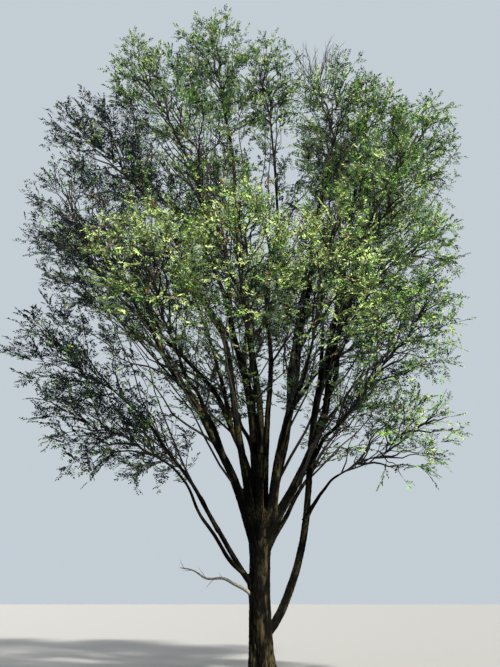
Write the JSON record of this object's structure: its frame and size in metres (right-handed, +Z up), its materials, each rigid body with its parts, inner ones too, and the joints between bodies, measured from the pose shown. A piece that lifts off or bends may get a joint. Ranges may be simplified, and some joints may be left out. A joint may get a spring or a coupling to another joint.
{
  "type": "siberian elm tree",
  "caption": "Whole broadleaved park tree in summer leaf: short trunk forking low into steep leaders that arch out, vase-like, to a tall open crown of fine, small-leaved sprays.",
  "frame": {"origin": "centre of the flat cut under the trunk, at ground level", "axes": "+Z up along the trunk, +X to the right-hand side of the tree as pictured, -Y its front"},
  "size_m": [12.8899, 12.2596, 18.9242],
  "materials": {
    "bark": "rough, deeply furrowed grey-brown bark with lighter ridges",
    "dead_wood": "dry, bare, weathered grey wood",
    "leaves": "small matt green to yellow-green leaves in fine sprays"
  },
  "bodies": {
    "root": {"trunk": "bark", "bough_west": "bark", "bough_north_west": "bark", "bough_long_west": "bark", "bough_high_west": "bark", "bough_crown_west": "bark", "bough_crown_east": "bark", "bough_east": "bark", "bough_far_east": "bark", "bough_north": "bark", "bough_north_east": "bark", "bough_low_west": "bark", "bough_low_east": "bark", "bough_low_north": "bark", "bough_low_west_front": "bark", "bough_low_west_back": "bark", "bough_south_west": "bark", "bough_north_west_back": "bark", "bough_high_west_back": "bark", "bough_front_high": "bark", "bough_front_mid": "bark", "bough_south_east": "bark", "bough_high_east": "bark", "bough_east_front": "bark", "bough_east_mid": "bark", "bough_east_low": "bark", "bough_low_east_out": "bark", "bough_north_mid": "bark", "bough_north_low": "bark", "bough_north_east_mid": "bark", "dead_limb": "dead_wood", "foliage_west": "leaves", "foliage_north_west": "leaves", "foliage_long_west": "leaves", "foliage_high_west": "leaves", "foliage_crown_west": "leaves", "foliage_crown_east": "leaves", "foliage_east": "leaves", "foliage_far_east": "leaves", "foliage_north": "leaves", "foliage_north_east": "leaves", "foliage_low_west": "leaves", "foliage_low_east": "leaves", "foliage_low_north": "leaves", "foliage_low_west_front": "leaves", "foliage_low_west_back": "leaves", "foliage_south_west": "leaves", "foliage_north_west_back": "leaves", "foliage_high_west_back": "leaves", "foliage_front_high": "leaves", "foliage_front_mid": "leaves", "foliage_south_east": "leaves", "foliage_high_east": "leaves", "foliage_east_front": "leaves", "foliage_east_mid": "leaves", "foliage_east_low": "leaves", "foliage_low_east_out": "leaves", "foliage_north_mid": "leaves", "foliage_north_low": "leaves", "foliage_north_east_mid": "leaves"}
  },
  "joints": []
}
